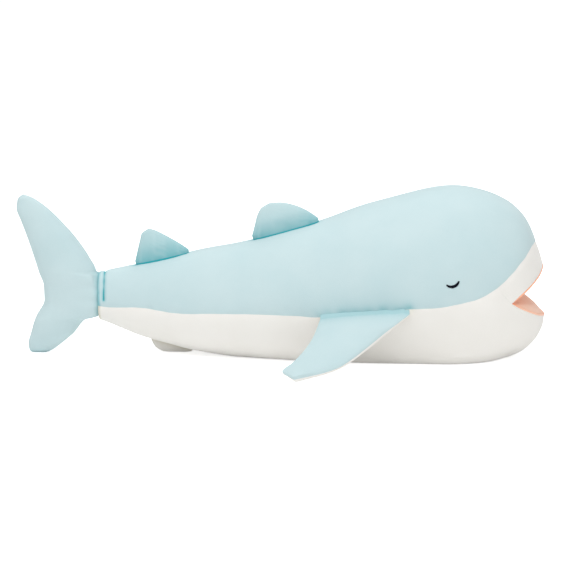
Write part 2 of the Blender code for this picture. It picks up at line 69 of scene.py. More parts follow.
# Sections of the body, tail to nose: shares along, top, bottom, width and pressed depth
BODY_SECTIONS = (
    (0.000, 0.491, 0.201, 0.210, 0.000),
    (0.058, 0.520, 0.141, 0.310, 0.000),
    (0.128, 0.562, 0.086, 0.420, 0.005),
    (0.207, 0.606, 0.032, 0.540, 0.012),
    (0.306, 0.663, 0.000, 0.670, 0.020),
    (0.405, 0.724, 0.000, 0.780, 0.055),
    (0.504, 0.803, 0.000, 0.880, 0.089),
    (0.604, 0.892, 0.000, 0.955, 0.111),
    (0.703, 0.964, 0.000, 0.995, 0.125),
    (0.792, 1.000, 0.000, 1.000, 0.139),
    (0.861, 0.976, 0.000, 0.955, 0.093),
    (0.913, 0.924, 0.008, 0.855, 0.030),
    (0.947, 0.844, 0.030, 0.720, 0.012),
    (0.972, 0.727, 0.073, 0.545, 0.004),
    (0.988, 0.610, 0.119, 0.350, 0.000),
    (0.999, 0.498, 0.191, 0.170, 0.000),
    (1.003, 0.347, 0.347, 0.000, 0.000),
)

# Side seam between blue and cream: share along, share of the section's height
SIDE_SEAM = (
    (0.000, 0.338),
    (0.094, 0.448),
    (0.160, 0.432),
    (0.267, 0.450),
    (0.427, 0.405),
    (0.493, 0.373),
    (0.693, 0.371),
    (0.740, 0.369),
    (0.823, 0.405),
    (0.870, 0.478),
    (0.909, 0.590),
    (0.945, 0.750),
    (0.967, 0.900),
    (0.980, 1.000),
)

# Steps from a seam into a panel, close together where the fabric turns into the seam
SEAM_STEPS = np.array((0.0, 0.0004, 0.0009, 0.0015, 0.0023, 0.0034, 0.0050))

TAIL_CREASE_X = -0.1990  # a fold across the back panels, just ahead of the tail
TAIL_MIDDLE_Z = 0.0661  # middle of the gathered end of the body


def line_through(points: tuple, x: np.ndarray) -> np.ndarray:
    """A smooth line through points, without overshoot.

    Args:
        points: (x, y) pairs with rising x.
        x: where the line is read.

    Returns:
        The line's y at each x.
    """
    px, py = (np.array(column, float) for column in zip(*points))
    step = np.diff(px)
    slope = np.diff(py) / step
    tangent = np.zeros(len(px))
    same = slope[:-1] * slope[1:] > 0
    inner = 2 * slope[:-1] * slope[1:] / np.where(same, slope[:-1] + slope[1:], 1.0)
    tangent[1:-1] = np.where(same, inner, 0.0)
    tangent[0], tangent[-1] = slope[0], slope[-1]
    x = np.clip(x, px[0], px[-1])
    k = np.clip(np.searchsorted(px, x, side="right") - 1, 0, len(px) - 2)
    h = step[k]
    t = (x - px[k]) / h
    return (
        py[k] * (2 * t**3 - 3 * t**2 + 1)
        + tangent[k] * h * (t**3 - 2 * t**2 + t)
        + py[k + 1] * (3 * t**2 - 2 * t**3)
        + tangent[k + 1] * h * (t**3 - t**2)
    )


def smooth_step(t: np.ndarray) -> np.ndarray:
    """0 below 0, 1 above 1, and smooth between."""
    t = np.clip(t, 0.0, 1.0)
    return t * t * (3 - 2 * t)


def lengths(points: np.ndarray) -> np.ndarray:
    """Distance walked along the last but one axis of an array of points."""
    steps = np.linalg.norm(np.diff(points, axis=-2), axis=-1)
    return np.concatenate([np.zeros(steps.shape[:-1] + (1,)), np.cumsum(steps, -1)], -1)


def spread(length: np.ndarray, count: int, both_ends: bool) -> np.ndarray:
    """Distances across a panel, close together near its seams.

    Args:
        length: the panel's width on each row.
        count: how many steps lie between the seams.
        both_ends: True where the far end is a seam too.

    Returns:
        One row of distances for each length.
    """
    length = np.atleast_1d(length)
    near = SEAM_STEPS * np.minimum(1.0, length / (3 * SEAM_STEPS[-1]))[:, None]
    far = length[:, None] - near[:, ::-1] if both_ends else length[:, None]
    share = np.linspace(0, 1, count + 2)[1:-1]
    middle = near[:, -1:] + share * (far[:, :1] - near[:, -1:])
    return np.hstack([near, middle, far])


class Undulation:
    """Slow, shallow waves that loose stuffing leaves under a stretched skin."""

    def __init__(self, seed: int, height: float, wavelengths: tuple[float, float], count: int = 14):
        """Draws the waves.

        Args:
            seed: start of the random numbers.
            height: usual height of the sum of the waves.
            wavelengths: the shortest and the longest wave.
            count: how many waves are added up.
        """
        random = np.random.default_rng(seed)
        direction = random.normal(size=(count, 3))
        direction /= np.linalg.norm(direction, axis=1)[:, None]
        wavelength = random.uniform(*wavelengths, count)
        self.wave = direction * (2 * math.pi / wavelength)[:, None]
        self.phase = random.uniform(0, 2 * math.pi, count)
        self.height = height * math.sqrt(2 / count)

    def at(self, points: np.ndarray) -> np.ndarray:
        """Height of the waves at points."""
        return self.height * np.sin(points @ self.wave.T + self.phase).sum(-1)


class BodyForm:
    """The smooth outside of the stuffed body, before its seams draw it in."""

    def __init__(self) -> None:
        """Reads the sections and the side seam."""
        rows = np.array(BODY_SECTIONS)
        ghost = rows[-2][[0, 2, 1, 3, 4]] * (1, 1, 1, -1, 1)
        self.rows = np.vstack([rows[:1], rows, ghost])
        self.last = len(rows) - 1.0
        self.places = np.linspace(0, self.last, 6001)
        self.xs = self.section(self.places)[0]

    def section(self, place: np.ndarray) -> tuple[np.ndarray, ...]:
        """Sizes of the sections at places counted in rows.

        Args:
            place: places in BODY_SECTIONS rows.

        Returns:
            x, top, bottom, half width and pressed depth, in metres.
        """
        place = np.clip(np.asarray(place, float), 0.0, self.last)
        first = np.minimum(place.astype(int), int(self.last) - 1)
        t = (place - first)[..., None]
        a, b, c, d = (self.rows[first + k] for k in range(4))
        row = 0.5 * (
            2 * b + (c - a) * t + (2 * a - 5 * b + 4 * c - d) * t**2
            + (3 * b - a - 3 * c + d) * t**3
        )
        along, top, bottom, width, pressed = np.moveaxis(row, -1, 0)
        return (
            TAIL_SEAM_X + along * BODY_LENGTH,
            top * HEAD_HEIGHT,
            np.maximum(bottom, 0.0) * HEAD_HEIGHT,
            width * HEAD_WIDTH / 2,
            np.maximum(pressed, 0.0) * HEAD_HEIGHT,
        )

    def place_at(self, x: np.ndarray) -> np.ndarray:
        """The place, counted in rows, of the section at x."""
        return np.interp(x, self.xs, self.places)

    def seam_height(self, x: np.ndarray) -> np.ndarray:
        """Height of the side seam at x."""
        share = line_through(SIDE_SEAM, (np.asarray(x) - TAIL_SEAM_X) / BODY_LENGTH)
        _, top, bottom, _, _ = self.section(self.place_at(x))
        return bottom + share * (top - bottom)

    def angle_at(self, place: np.ndarray, z: np.ndarray) -> np.ndarray:
        """The angle round the section at which the surface has height z."""
        _, top, bottom, _, pressed = self.section(place)
        widest = bottom + WIDEST_LEVEL * (top - bottom)
        rise = np.clip((z - widest) / np.maximum(top - widest, 1e-6), 0, 1)
        fall = np.clip((widest - z) / np.maximum(widest - bottom + pressed, 1e-6), 0, 1)
        return np.where(
            z >= widest, np.arcsin(rise ** (ROUND_ABOVE / 2)), -np.arcsin(fall ** (ROUND_BELOW / 2))
        )

    def points(self, place: np.ndarray, angle: np.ndarray) -> np.ndarray:
        """The left side's surface: 90 degrees is the spine, -90 degrees the belly line."""
        x, top, bottom, half, pressed = self.section(place)
        widest = bottom + WIDEST_LEVEL * (top - bottom)
        up = np.sin(angle)
        power = np.where(up > 0, ROUND_ABOVE, ROUND_BELOW)
        height = np.where(up > 0, top - widest, widest - bottom + pressed)
        y = half * np.abs(np.cos(angle)) ** (2 / power)
        z = widest + height * np.sign(up) * np.abs(up) ** (2 / power)
        soft = np.minimum(FLOOR_SOFTNESS, 0.15 * pressed) + 1e-6
        rise = (z - bottom) / soft
        z = np.where(rise > 30, z, bottom + soft * np.logaddexp(0.0, np.clip(rise, -60, 31)))
        return np.stack(np.broadcast_arrays(x, y, z), -1)

    def level(self, points: np.ndarray) -> np.ndarray:
        """Below 0 inside the body and above 0 outside it."""
        _, top, bottom, half, pressed = self.section(self.place_at(points[..., 0]))
        widest = bottom + WIDEST_LEVEL * (top - bottom)
        rise = points[..., 2] - widest
        power = np.where(rise > 0, ROUND_ABOVE, ROUND_BELOW)
        height = np.where(rise > 0, top - widest, widest - bottom + pressed)
        out = (np.abs(points[..., 1]) / np.maximum(half, 1e-4)) ** power
        up = (np.abs(rise) / np.maximum(height, 1e-4)) ** power
        past = np.maximum(points[..., 0] - NOSE_X, 0.0) * 1e3
        return np.maximum(out + up + past - 1.0, (bottom - points[..., 2]) * 1e3)

    def normals(self, points: np.ndarray) -> np.ndarray:
        """Outward directions of the surface at points on it."""
        step = 0.0006
        slope = [
            self.level(points + offset) - self.level(points - offset)
            for offset in np.eye(3) * step
        ]
        normal = np.stack(slope, -1)
        _, _, bottom, _, _ = self.section(self.place_at(points[..., 0]))
        flat = 1 - smooth_step((points[..., 2] - bottom) / 0.004)
        normal /= np.maximum(np.linalg.norm(normal, axis=-1, keepdims=True), 1e-9)
        normal = normal * (1 - flat[..., None]) + np.array((0.0, 0.0, -1.0)) * flat[..., None]
        return normal / np.maximum(np.linalg.norm(normal, axis=-1, keepdims=True), 1e-9)


@dataclass(frozen=True)
class Mouth:
    """The wedge of the open mouth, seen as rays that turn round its fold."""

    form: BodyForm
    fold: tuple[float, float] = (0.2535, 0.0718)  # x and z of the corners
    upper: float = math.radians(35.2)
    lower: float = math.radians(-28.6)
    cheek: float = math.radians(130.5)  # of the seam that runs up the cheek
    lip_radius: float = 0.0034

    def hit(self, turn: np.ndarray, swing: np.ndarray) -> np.ndarray:
        """Where rays from the middle of the fold leave the body.

        Args:
            turn: angle round the fold, 0 forwards and 90 degrees up.
            swing: 0 towards the left mouth corner, 90 degrees in the middle plane.

        Returns:
            Points on the left side of the body.
        """
        turn, swing = np.broadcast_arrays(turn, swing)
        ray = self.ray(turn, swing)
        origin = np.array((self.fold[0], 0.0, self.fold[1]))
        near, far = np.zeros(turn.shape), np.full(turn.shape, 0.2)
        for _ in range(38):
            middle = (near + far) / 2
            inside = self.form.level(origin + ray * middle[..., None]) < 0
            near, far = np.where(inside, middle, near), np.where(inside, far, middle)
        return origin + ray * near[..., None]

    def ray(self, turn: np.ndarray, swing: np.ndarray) -> np.ndarray:
        """Unit vectors of the rays."""
        return np.stack(
            [np.sin(swing) * np.cos(turn), np.cos(swing), np.sin(swing) * np.sin(turn)], -1
        )

    def top_turn(self, swing: np.ndarray) -> np.ndarray:
        """How far round the snout panel reaches, up to the cheek seam or the side seam."""
        low, high = np.full(swing.shape, self.upper), np.full(swing.shape, self.cheek)
        for _ in range(38):
            middle = (low + high) / 2
            point = self.hit(middle, swing)
            above = point[..., 2] > self.form.seam_height(point[..., 0])
            low, high = np.where(above, low, middle), np.where(above, middle, high)
        return (low + high) / 2

    def crossing(self) -> tuple[float, float]:
        """Where the cheek seam meets the side seam.

        Returns:
            The swing of the ray that meets it, and its x.
        """
        low, high = 0.01, math.pi / 2
        for _ in range(40):
            middle = (low + high) / 2
            point = self.hit(np.array([self.cheek]), np.array([middle]))[0]
            above = point[2] > self.form.seam_height(point[0])
            low, high = (low, middle) if above else (middle, high)
        return middle, float(point[0])

    def roll(self, turn: float, swing: np.ndarray, sense: int) -> tuple[np.ndarray, np.ndarray]:
        """Where a panel starts to roll into the mouth.

        Args:
            turn: angle of the lip round the fold.
            swing: columns of the panel.
            sense: 1 where the mouth lies at a greater angle than the panel, else -1.

        Returns:
            The angle at which the roll starts, and its radius, in each column.
        """
        edge = self.hit(np.full(swing.shape, turn), swing)
        reach = np.linalg.norm(edge[:, [0, 2]] - np.array(self.fold), axis=1)
        radius = self.lip_radius * smooth_step(reach / 0.014 + 0.02)
        return turn - sense * radius / np.maximum(reach, 1e-4), radius

    def lip(self, turn: float, swing: np.ndarray, sense: int, count: int = 9) -> np.ndarray:
        """Rows that roll a panel's edge into the mouth.

        Args:
            turn: angle of the lip round the fold.
            swing: columns of the panel.
            sense: 1 where the mouth lies at a greater angle than the panel, else -1.
            count: rows of the roll.

        Returns:
            Points [row, column], from the panel to its inner edge.
        """
        start, radius = self.roll(turn, swing, sense)
        base = self.hit(start, swing)
        along = sense * np.stack([-np.sin(start), 0 * start, np.cos(start)], -1)
        inward = -self.ray(start, swing)
        rows = []
        for bend in np.linspace(0, math.pi / 2, count):
            rows.append(
                base
                + along * (radius * math.sin(bend))[:, None]
                + inward * (radius * (1 - math.cos(bend)))[:, None]
            )
        return np.array(rows)


def mirrored(points: np.ndarray) -> np.ndarray:
    """The same points on the right side."""
    return points * np.array((1.0, -1.0, 1.0))


def two_sided(half: np.ndarray) -> np.ndarray:
    """A grid from the left border over the middle plane to the right border."""
    return np.concatenate([half, mirrored(half)[:, ::-1][:, 1:]], axis=1)


class Relief:
    """What seams and stuffing do to the smooth form of the body, and where shade is painted along
    its seams and folds.
    """

    def __init__(self, form: BodyForm) -> None:
        """Takes the form and starts with no seams."""
        self.form = form
        self.waves = Undulation(11, 0.00045, (0.045, 0.13))
        self.ripples = Undulation(5, 1.0, (0.010, 0.024))
        self.seams: list[tuple[np.ndarray, float, float, float]] = []
        self.shadows: list[tuple[np.ndarray, float, float]] = []

    def add_seam(self, line: np.ndarray, depth: float, width: float, pucker: float = 0.3) -> None:
        """Adds a seam that draws the skin in.

        Args:
            line: points along the seam, close together.
            depth: how far it draws the skin in.
            width: how quickly that fades.
            pucker: share of the depth that varies along the seam.
        """
        self.seams.append((line, depth, width, pucker))

    def add_shadow(self, line: np.ndarray, strength: float, width: float) -> None:
        """Adds a line beside which shade is painted into the fabric's colour."""
        self.shadows.append((line, strength, width))

    @staticmethod
    def apart(flat: np.ndarray, line: np.ndarray, reach: float) -> tuple[np.ndarray, np.ndarray]:
        """Distances to a line.

        Args:
            flat: points [n, 3].
            line: points along the line.
            reach: distance beyond which points are left out.

        Returns:
            The numbers of the points near the line, and their distances.
        """
        low, high = line.min(0) - reach, line.max(0) + reach
        near = np.flatnonzero(((flat > low) & (flat < high)).all(1))
        parts = np.array_split(near, max(1, len(near) // 2000))
        found = [np.linalg.norm(flat[part, None] - line[None], axis=2).min(1) for part in parts]
        return near, np.concatenate(found)

    def drop(self, points: np.ndarray) -> np.ndarray:
        """How far the seams draw the skin in at points."""
        flat = points.reshape(-1, 3)
        total = np.zeros(len(flat))
        for line, depth, width, pucker in self.seams:
            near, apart = self.apart(flat, line, 8 * width)
            wave = 1 + pucker * self.ripples.at(flat[near])
            groove = 0.62 * np.exp(-apart / width) + 0.38 * np.exp(-((apart / width / 2.6) ** 2))
            total[near] = np.maximum(total[near], depth * groove * wave)
        return total.reshape(points.shape[:-1])

    def crease(self, points: np.ndarray) -> np.ndarray:
        """How strongly shade is painted at points, from 0 to 1."""
        flat = points.reshape(-1, 3)
        total = np.zeros(len(flat))
        for line, strength, width in self.shadows:
            near, apart = self.apart(flat, line, 4 * width)
            wave = 1 + 0.25 * self.ripples.at(flat[near])
            fade = np.exp(-((apart / width) ** 1.3))
            total[near] = np.maximum(total[near], strength * wave * fade)
        return total.reshape(points.shape[:-1])

    def apply(self, points: np.ndarray) -> np.ndarray:
        """The points moved along the form's normals.

        Args:
            points: points on the form.

        Returns:
            The moved points, none below the floor.
        """
        lift = self.waves.at(points) * np.clip(points[..., 2] / 0.012, 0, 1)
        moved = points + self.form.normals(points) * (lift - self.drop(points))[..., None]
        moved[..., 2] = np.maximum(moved[..., 2], 0.0)
        return moved


def grid_piece(
    name: str, points: np.ndarray, material: bpy.types.Material, crease: np.ndarray | None = None
) -> bpy.types.Object:
    """A smooth mesh over a grid of points.

    Args:
        name: the piece's name.
        points: points [row, column, 3].
        material: the finish.
        crease: painted shade in creases and folds, from 0 to 1, at each point.

    Returns:
        The new object, with its normals outwards where the grid asks for it.
    """
    rows, columns = points.shape[:2]
    index = np.arange(rows * columns).reshape(rows, columns)
    corners = [index[:-1, :-1], index[:-1, 1:], index[1:, 1:], index[1:, :-1]]
    faces = np.stack(corners, -1).reshape(-1, 4)
    flat = None if crease is None else crease.reshape(-1)
    return mesh_piece(name, points.reshape(-1, 3), faces, material, flat)


def mesh_piece(
    name: str,
    points: np.ndarray,
    faces: np.ndarray,
    material: bpy.types.Material,
    crease: np.ndarray | None = None,
) -> bpy.types.Object:
    """A smooth mesh with doubled points merged.

    Args:
        name: the piece's name.
        points: points [n, 3].
        faces: corner numbers of each face.
        material: the finish.
        crease: painted shade in creases and folds, from 0 to 1, at each point.

    Returns:
        The new object.
    """
    key = np.round(points / 2e-6).astype(np.int64)
    _, first, back = np.unique(key, axis=0, return_index=True, return_inverse=True)
    back = back.reshape(-1)
    kept, seen = [], set()
    for face in back[faces]:
        ring = [v for k, v in enumerate(face) if v != face[k - 1]]
        mark = frozenset(ring)
        if len(mark) > 2 and len(mark) == len(ring) and mark not in seen:
            seen.add(mark)
            kept.append([int(v) for v in ring])
    mesh = bpy.data.meshes.new(name)
    mesh.from_pydata([tuple(p) for p in points[first]], [], kept)
    if crease is not None:
        # Painted shade in creases and folds, stored on the points for the materials.
        painted_shade = mesh.attributes.new("crease", "FLOAT", "POINT")
        painted_shade.data.foreach_set("value", np.clip(crease[first], 0, 1).astype(np.float32))
    mesh.shade_smooth()
    mesh.materials.append(material)
    piece = bpy.data.objects.new(name, mesh)
    bpy.context.scene.collection.objects.link(piece)
    log.info("%s: %d points, %d faces", name, len(mesh.vertices), len(mesh.polygons))
    return piece


class Nodes:
    """Short ways to place and join shader nodes in one tree."""

    def __init__(self, tree: bpy.types.NodeTree) -> None:
        """Takes the tree."""
        self.tree = tree

    def add(self, kind: str, **inputs: object) -> bpy.types.Node:
        """A node with values or links on its inputs.

        Args:
            kind: the node's type.
            **inputs: a number or colour, or the output socket to link, by input name
                with underscores for spaces; a name that is no input sets a property.

        Returns:
            The new node.
        """
        node = self.tree.nodes.new(kind)
        settings = {name: value for name, value in inputs.items() if hasattr(node, name)}
        for name, value in settings.items():
            setattr(node, name, value)
        for name, value in inputs.items():
            if name not in settings:
                self.set(node, name.replace("_", " "), value)
        return node

    def set(self, node: bpy.types.Node, name: str | int, value: object) -> None:
        """Sets or links one input of a node."""
        socket = node.inputs[int(name[1:])] if name[1:].isdigit() else node.inputs[name]
        if isinstance(value, bpy.types.NodeSocket):
            self.tree.links.new(value, socket)
        else:
            socket.default_value = value


def linear(colour: tuple[float, float, float]) -> tuple[float, float, float, float]:
    """A display colour as the linear colour that a shader takes."""
    r, g, b = (c / 12.92 if c <= 0.04045 else ((c + 0.055) / 1.055) ** 2.4 for c in colour)
    return r, g, b, 1.0


def new_group(name: str, inputs: dict, outputs: dict) -> tuple[bpy.types.NodeTree, Nodes]:
    """An empty node group with named sockets.

    Args:
        name: the group's name.
        inputs: socket type and default by name.
        outputs: socket type by name.

    Returns:
        The group and the maker of its nodes.
    """
    tree = bpy.data.node_groups.new(name, "ShaderNodeTree")
    for label, (kind, default) in inputs.items():
        socket = tree.interface.new_socket(label, in_out="INPUT", socket_type=kind)
        socket.default_value = default
    for label, kind in outputs.items():
        tree.interface.new_socket(label, in_out="OUTPUT", socket_type=kind)
    return tree, Nodes(tree)


def knit_group() -> bpy.types.NodeTree:
    """The fine loops of a stretch knit, its slow changes of shade, and the shade painted into its
    creases.
    """
    tree, nodes = new_group(
        "stretch_knit",
        {
            "Colour": ("NodeSocketColor", (0.8, 0.8, 0.8, 1)),
            "Shade": ("NodeSocketColor", (0.6, 0.6, 0.6, 1)),
            "Loops per metre": ("NodeSocketFloat", 900.0),
            "Crease shade colour": ("NodeSocketColor", (0.3, 0.3, 0.3, 1)),
            "Crease": ("NodeSocketFloat", 0.0),
        },
        {"Colour": "NodeSocketColor", "Height": "NodeSocketFloat", "Roughness": "NodeSocketFloat"},
    )
    given = nodes.add("NodeGroupInput").outputs
    place = nodes.add("ShaderNodeTexCoord").outputs["Object"]
    loops = nodes.add(
        "ShaderNodeTexVoronoi", Vector=place, Scale=given["Loops per metre"], feature="F1"
    ).outputs["Distance"]
    clouds = nodes.add(
        "ShaderNodeTexNoise", Vector=place, Scale=16.0, Detail=3.0, Roughness=0.55
    ).outputs[0]
    fuzz = nodes.add(
        "ShaderNodeTexNoise", Vector=place, Scale=1400.0, Detail=2.0, Roughness=0.6
    ).outputs[0]
    cloudy = nodes.add("ShaderNodeMapRange", i0=clouds, i1=0.35, i2=0.68, i3=0.0, i4=0.30)
    loopy = nodes.add("ShaderNodeMapRange", i0=loops, i1=0.15, i2=0.75, i3=0.0, i4=0.12)
    both = nodes.add("ShaderNodeMath", operation="ADD", i0=cloudy.outputs[0], i1=loopy.outputs[0])
    mixed = nodes.add(
        "ShaderNodeMix", data_type="RGBA", i0=both.outputs[0], i6=given["Colour"], i7=given["Shade"]
    )
    # Painted shade: the knit's colour turns towards the shade colour where the mask is high.
    painted_shade = nodes.add(
        "ShaderNodeMix", data_type="RGBA", i0=given["Crease"], i6=mixed.outputs[2], i7=given["Crease shade colour"]
    )
    crown = nodes.add("ShaderNodeMath", operation="SUBTRACT", i0=1.0, i1=loops)
    height = nodes.add(
        "ShaderNodeMath", operation="MULTIPLY_ADD", i0=fuzz, i1=0.45, i2=crown.outputs[0]
    )
    rough = nodes.add("ShaderNodeMapRange", i0=fuzz, i1=0.3, i2=0.7, i3=0.86, i4=0.97)
    out = nodes.add("NodeGroupOutput")
    tree.links.new(painted_shade.outputs[2], out.inputs["Colour"])
    tree.links.new(height.outputs[0], out.inputs["Height"])
    tree.links.new(rough.outputs[0], out.inputs["Roughness"])
    return tree


@dataclass(frozen=True)
class Finish:
    """A textile finish: its colours and how its surface scatters light."""

    slot: str
    colour: tuple[float, float, float]
    shade: tuple[float, float, float]
    crease_shade_colour: tuple[float, float, float]  # colour painted where shade falls in creases and folds
    loops: float = 900.0
    relief: float = 0.18
    sheen: float = 0.25
    sheen_tint: tuple[float, float, float] = (1.0, 1.0, 1.0)

    def material(self, knit: bpy.types.NodeTree) -> bpy.types.Material:
        """Builds the material.

        Args:
            knit: the node group of the knit.

        Returns:
            The new material, named after its slot.
        """
        material = bpy.data.materials.new(self.slot)
        material.use_nodes = True
        nodes = Nodes(material.node_tree)
        shader = material.node_tree.nodes["Principled BSDF"]
        group = nodes.add("ShaderNodeGroup", node_tree=knit)
        group.inputs["Colour"].default_value = linear(self.colour)
        group.inputs["Shade"].default_value = linear(self.shade)
        group.inputs["Crease shade colour"].default_value = linear(self.crease_shade_colour)
        group.inputs["Loops per metre"].default_value = self.loops
        # The mask of painted shade, read from the points.
        crease = nodes.add("ShaderNodeAttribute", attribute_name="crease")
        nodes.set(group, "Crease", crease.outputs["Fac"])
        bump = nodes.add("ShaderNodeBump", Height=group.outputs["Height"])
        bump.inputs["Strength"].default_value = self.relief
        bump.inputs["Distance"].default_value = 0.0004
        nodes.set(shader, "Base Color", group.outputs["Colour"])
        nodes.set(shader, "Roughness", group.outputs["Roughness"])
        nodes.set(shader, "Normal", bump.outputs["Normal"])
        shader.inputs["Specular IOR Level"].default_value = 0.15
        shader.inputs["Sheen Weight"].default_value = self.sheen
        shader.inputs["Sheen Roughness"].default_value = 0.45
        shader.inputs["Sheen Tint"].default_value = (*self.sheen_tint, 1.0)
        return material


class Textile(Enum):
    """The finishes of the shark, by the record's slots."""

    # The third colour of each textile is the painted shade in its creases and folds.
    BLUE = Finish("blue_knit", (0.797, 0.876, 0.887), (0.724, 0.836, 0.854), (0.20, 0.67, 0.71))
    CREAM = Finish("cream_knit", (0.955, 0.948, 0.93), (0.925, 0.916, 0.89), (0.80, 0.77, 0.66))
    CORAL = Finish("coral_lining", (1.0, 0.86, 0.78), (0.99, 0.80, 0.70), (0.99, 0.60, 0.36))
    NAVY = Finish(
        "eye_thread", (0.05, 0.065, 0.12), (0.03, 0.04, 0.08), (0.02, 0.02, 0.04),
        loops=2600.0, relief=0.1, sheen=0.05,
    )


class Wardrobe:
    """The materials made from the finishes."""

    def __init__(self) -> None:
        """Builds one material for each textile."""
        knit = knit_group()
        self.made = {textile: textile.value.material(knit) for textile in Textile}

    def dress(self, piece: bpy.types.Object, textile: Textile) -> None:
        """Gives a piece its textile."""
        piece.data.materials.clear()
        piece.data.materials.append(self.made[textile])


@dataclass
class BodySkin:
    """The blue back panels, the cream belly and the cream snout."""

    form: BodyForm
    mouth: Mouth
    relief: Relief
    wardrobe: Wardrobe
    ring_step: float = 0.0024
    back_columns: int = 44
    belly_columns: int = 40
    snout_rows: int = 26
    mouth_rows: int = 24
    bead: float = 0.0012  # radius of the lining's roll along the lips
    bend: float = 0.032
    gather: tuple[tuple[float, float], ...] = (
        (-0.0007, 0.985), (-0.0012, 0.96), (-0.0010, 0.93), (0.0004, 0.905), (0.0030, 0.89),
    )  # the end at the tail rolls in: x offset and share of the section

    def ring_places(self, first: float, last: float, angle: float) -> np.ndarray:
        """Places of rings, evenly spaced along one line of the surface.

        Args:
            first: x of the first ring.
            last: x of the last ring.
            angle: angle round the body of that line.

        Returns:
            Places in section rows.
        """
        places = np.linspace(*self.form.place_at(np.array((first, last))), 3000)
        walked = lengths(self.form.points(places, np.full(3000, angle)))
        count = int(walked[-1] / self.ring_step)
        return np.interp(np.linspace(0, walked[-1], count), walked, places)

    def across(
        self, place: np.ndarray, start: np.ndarray, end: np.ndarray, count: int, both: bool
    ) -> np.ndarray:
        """A grid between two angles on every ring, closer together at seams.

        Args:
            place: places of the rings.
            start: angle at which each ring starts.
            end: angle at which each ring ends.
            count: steps between the seams.
            both: True where the end is a seam too.

        Returns:
            Points [ring, column, 3].
        """
        share = np.linspace(0, 1, 260)
        dense = start[:, None] + (end - start)[:, None] * share
        walked = lengths(self.form.points(place[:, None], dense))
        target = spread(walked[:, -1], count, both)
        angle = np.array([np.interp(t, w, a) for t, w, a in zip(target, walked, dense)])
        return self.form.points(place[:, None], angle)

    def rolled_end(self, grid: np.ndarray) -> np.ndarray:
        """The grid with rows in front of it that roll its tail end inwards."""
        ring = grid[0]
        middle = np.array((ring[0, 0], 0.0, TAIL_MIDDLE_Z))
        rows = [
            middle + (ring - middle) * (1, share, share) + (offset, 0, 0)
            for offset, share in reversed(self.gather)
        ]
        return np.concatenate([rows, grid])

    def rolled_shade(self, crease: np.ndarray) -> np.ndarray:
        """The crease values with painted shade of 0.6 over the rows of the rolled end in front."""
        return np.concatenate([np.full((len(self.gather), crease.shape[1]), 0.6), crease])

    def border(self, x: np.ndarray) -> np.ndarray:
        """Height of the belly panel's border at x."""
        cheek = self.mouth.fold[1] + (x - self.mouth.fold[0]) * math.tan(self.mouth.cheek)
        return np.minimum(self.form.seam_height(x), cheek)

    def sew(self) -> None:
        """Adds the body's seams to the relief."""
        x = np.linspace(TAIL_SEAM_X, TAIL_SEAM_X + SIDE_SEAM[-1][0] * BODY_LENGTH, 1400)
        place = self.form.place_at(x)
        side = self.form.points(place, self.form.angle_at(place, self.form.seam_height(x)))
        spine = self.form.points(place, np.full(x.shape, math.pi / 2))
        swing = np.linspace(0.001, math.pi / 2, 600)
        top = self.mouth.top_turn(swing)
        cheek = self.mouth.hit(top, swing)[top > self.mouth.cheek - 1e-4]
        for line in (side, mirrored(side)):
            self.relief.add_seam(line, 0.00095, 0.0022)
        for line in (cheek, mirrored(cheek)):
            self.relief.add_seam(line, 0.0009, 0.0020)
        self.relief.add_seam(spine, 0.0004, 0.0020, 0.2)
        around = np.linspace(math.radians(4), math.pi / 2, 90)
        crease = self.form.points(self.form.place_at(np.full(90, TAIL_CREASE_X)), around)
        around = np.linspace(-math.pi / 2, math.pi / 2, 140)
        end = self.form.points(np.zeros(140), around)
        # Painted shade along the fold ahead of the tail and round the body's gathered end.
        for line in (crease, mirrored(crease)):
            self.relief.add_seam(line, 0.0019, 0.0011, 0.12)
            self.relief.add_shadow(line, 1.0, 0.0013)
        for line in (end, mirrored(end)):
            self.relief.add_shadow(line, 0.5, 0.0012)
        self.shade_roots(x, side)

    def shade_roots(self, x: np.ndarray, side: np.ndarray) -> None:
        """Paints shade into the colour where the fins are sewn on.

        Args:
            x: places along the side seam.
            side: points along the left side seam.
        """
        for node, strength in (("front_dorsal", 0.55), ("rear_dorsal", 0.75)):
            low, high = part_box(f"{node}_left_panel")
            reach = np.linspace(low.x + 0.001, high.x - 0.004, 90)
            place = self.form.place_at(reach)
            root = self.form.points(place, np.full(90, math.radians(89.0)))
            root[:, 1] = 0.0035
            for line in (root, mirrored(root)):
                self.relief.add_seam(line, 0.0007, 0.0022, 0.2)
                self.relief.add_shadow(line, strength, 0.0034)
        low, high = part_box("pectoral_left_top_panel")
        root = side[(x > 0.045) & (x < high.x - 0.002)] + (0, 0, 0.002)
        for line in (root, mirrored(root)):
            self.relief.add_shadow(line, 0.30, 0.0050)

    def back(self) -> list[bpy.types.Object]:
        """The two blue panels, from the tail to the brow."""
        brow = TAIL_SEAM_X + SIDE_SEAM[-1][0] * BODY_LENGTH - 0.00002
        place = self.ring_places(TAIL_SEAM_X, brow, math.pi / 2)
        close = self.form.place_at(TAIL_CREASE_X + np.linspace(-0.0016, 0.0016, 9))
        place = np.sort(np.concatenate([place, close]))
        seam = self.form.angle_at(place, self.form.seam_height(self.form.section(place)[0]))
        grid = self.across(place, seam, np.full(place.shape, math.pi / 2), self.back_columns, True)
        crease = self.rolled_shade(self.relief.crease(grid))
        grid = self.rolled_end(self.relief.apply(grid))
        made = []
        for side, points, shade in (
            ("left", grid, crease), ("right", mirrored(grid)[:, ::-1], crease[:, ::-1])
        ):
            piece = grid_piece(f"back_skin_{side}", points, self.wardrobe.made[Textile.BLUE], shade)
            self.wardrobe.dress(piece, Textile.BLUE)
            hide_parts(f"back_panel_{side}")
            made.append(piece)
        return made

